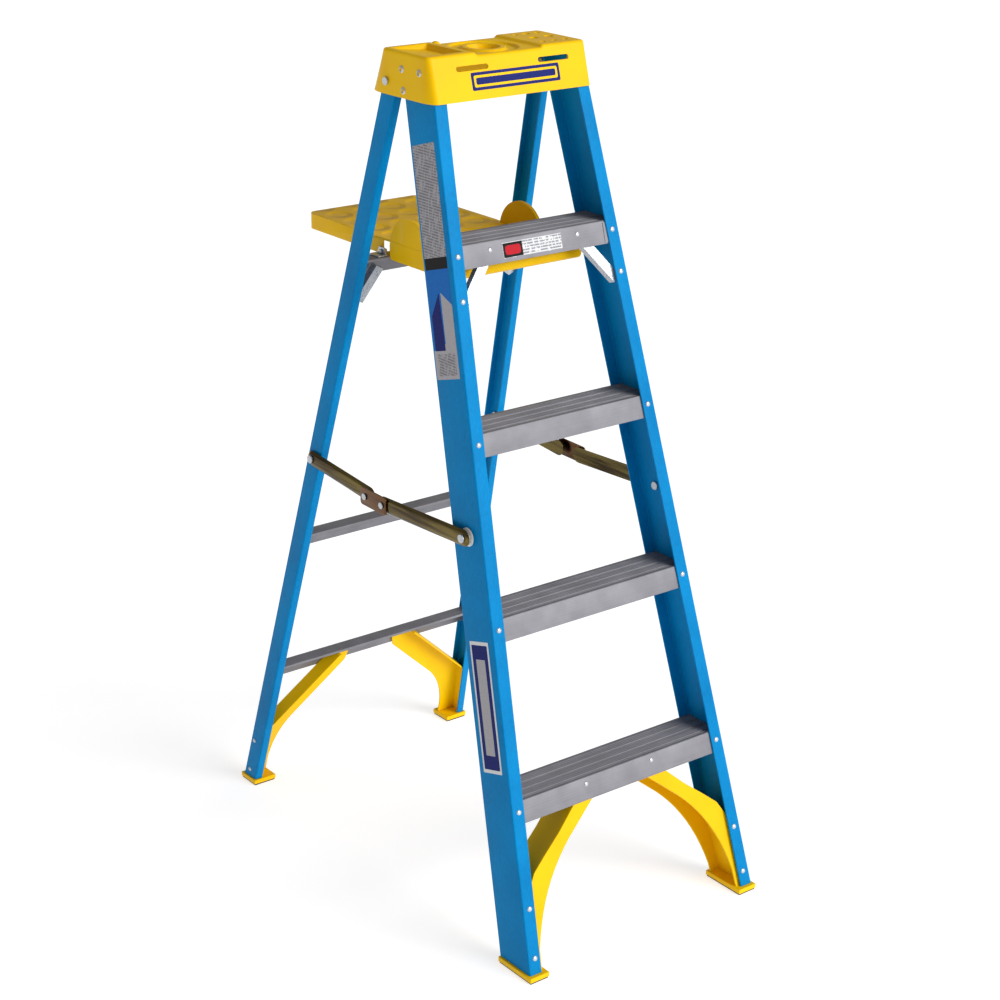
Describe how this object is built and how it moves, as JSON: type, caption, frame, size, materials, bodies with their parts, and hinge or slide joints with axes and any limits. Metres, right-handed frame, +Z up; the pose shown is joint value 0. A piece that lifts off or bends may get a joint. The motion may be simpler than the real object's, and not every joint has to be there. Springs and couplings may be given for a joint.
{
  "type": "step ladder",
  "caption": "Folding step ladder with channel rails, ribbed treads, hollow top cap, locking spreaders, braced feet and a fold-down pail shelf.",
  "frame": {"origin": "on the floor, at the middle of the rectangle that the four feet cover", "axes": "+Z up, +X across the treads to the climber's right, -Y the side that is climbed"},
  "size_m": [0.515, 0.912, 1.462],
  "materials": {
    "fibreglass_blue": "pultruded fibreglass, satin",
    "moulded_yellow": "moulded, fine grain",
    "rubber_black": "moulded, ribbed",
    "aluminium": "extruded, mill finish",
    "galvanised": "zinc plated",
    "zinc_yellow": "yellow chromate zinc plate",
    "nylon_white": "moulded"
  },
  "bodies": {
    "front_section": {"top_cap": "moulded_yellow", "step_1": "aluminium", "step_2": "aluminium", "step_3": "aluminium", "step_4": "aluminium", "front_rail_left": "fibreglass_blue", "front_rail_right": "fibreglass_blue", "top_step_strut_left": "galvanised", "top_step_strut_right": "galvanised", "front_foot_brace_left": "moulded_yellow", "front_foot_brace_right": "moulded_yellow", "front_foot_pad_left": "rubber_black", "front_foot_pad_right": "rubber_black", "cap_pivot_pin_left": "galvanised", "cap_pivot_pin_right": "galvanised", "spreader_front_pin_left": "galvanised", "spreader_front_pin_right": "galvanised", "spreader_front_spacer_left": "nylon_white", "spreader_front_spacer_right": "nylon_white"},
    "rear_section": {"rear_horizontal_lower": "aluminium", "rear_horizontal_middle": "aluminium", "rear_horizontal_upper": "aluminium", "rear_rail_left": "fibreglass_blue", "rear_rail_right": "fibreglass_blue", "rear_foot_brace_left": "moulded_yellow", "rear_foot_brace_right": "moulded_yellow", "rear_foot_pad_left": "rubber_black", "rear_foot_pad_right": "rubber_black", "shelf_strut_left": "galvanised", "shelf_strut_right": "galvanised", "shelf_bracket_left": "galvanised", "shelf_bracket_right": "galvanised", "shelf_pivot_bolt_left": "galvanised", "shelf_pivot_bolt_right": "galvanised", "spreader_rear_pin_left": "galvanised", "spreader_rear_pin_right": "galvanised", "spreader_rear_spacer_left": "nylon_white", "spreader_rear_spacer_right": "nylon_white"},
    "shelf": {"pail_shelf": "moulded_yellow"},
    "front_arm_left": {"spreader_front_arm_left": "zinc_yellow"},
    "link_left": {"spreader_link_left": "zinc_yellow", "link_front_rivet_left": "galvanised", "link_rear_rivet_left": "galvanised"},
    "rear_arm_left": {"spreader_rear_arm_left": "zinc_yellow"},
    "front_arm_right": {"spreader_front_arm_right": "zinc_yellow"},
    "link_right": {"spreader_link_right": "zinc_yellow", "link_front_rivet_right": "galvanised", "link_rear_rivet_right": "galvanised"},
    "rear_arm_right": {"spreader_rear_arm_right": "zinc_yellow"}
  },
  "joints": [
    {"name": "rear_fold", "type": "hinge", "parent": "front_section", "child": "rear_section", "pos_m": [0, 0.0725, 1.41], "axis": [-1, 0, 0], "range_deg": [0, 30.5]},
    {"name": "shelf_fold", "type": "hinge", "parent": "rear_section", "child": "shelf", "pos_m": [0, 0.1505, 1.102], "axis": [1, 0, 0], "range_deg": [0, 104.51]},
    {"name": "spreader_front_left", "type": "hinge", "parent": "front_section", "child": "front_arm_left", "pos_m": [-0.217, -0.209, 0.7095], "axis": [1, 0, 0], "range_deg": [0, 76.92]},
    {"name": "spreader_link_left", "type": "hinge", "parent": "front_arm_left", "child": "link_left", "pos_m": [-0.221, 0.017, 0.698], "axis": [-1, 0, 0], "range_deg": [0, 109.98]},
    {"name": "spreader_rear_left", "type": "hinge", "parent": "rear_section", "child": "rear_arm_left", "pos_m": [-0.212, 0.2485, 0.7135], "axis": [-1, 0, 0], "range_deg": [0, 72.19]},
    {"name": "spreader_front_right", "type": "hinge", "parent": "front_section", "child": "front_arm_right", "pos_m": [0.217, -0.209, 0.7095], "axis": [1, 0, 0], "range_deg": [0, 76.92]},
    {"name": "spreader_link_right", "type": "hinge", "parent": "front_arm_right", "child": "link_right", "pos_m": [0.221, 0.017, 0.698], "axis": [-1, 0, 0], "range_deg": [0, 109.98]},
    {"name": "spreader_rear_right", "type": "hinge", "parent": "rear_section", "child": "rear_arm_right", "pos_m": [0.212, 0.2485, 0.7135], "axis": [-1, 0, 0], "range_deg": [0, 72.19]}
  ],
  "couplings": [
    {"joint": "shelf_fold", "follows": "rear_fold", "ratio": 3.4258},
    {"joint": "spreader_front_left", "follows": "rear_fold", "ratio": 2.5213},
    {"joint": "spreader_link_left", "follows": "rear_fold", "ratio": 3.6053},
    {"joint": "spreader_rear_left", "follows": "rear_fold", "ratio": 2.3663},
    {"joint": "spreader_front_right", "follows": "rear_fold", "ratio": 2.5213},
    {"joint": "spreader_link_right", "follows": "rear_fold", "ratio": 3.6053},
    {"joint": "spreader_rear_right", "follows": "rear_fold", "ratio": 2.3663}
  ]
}
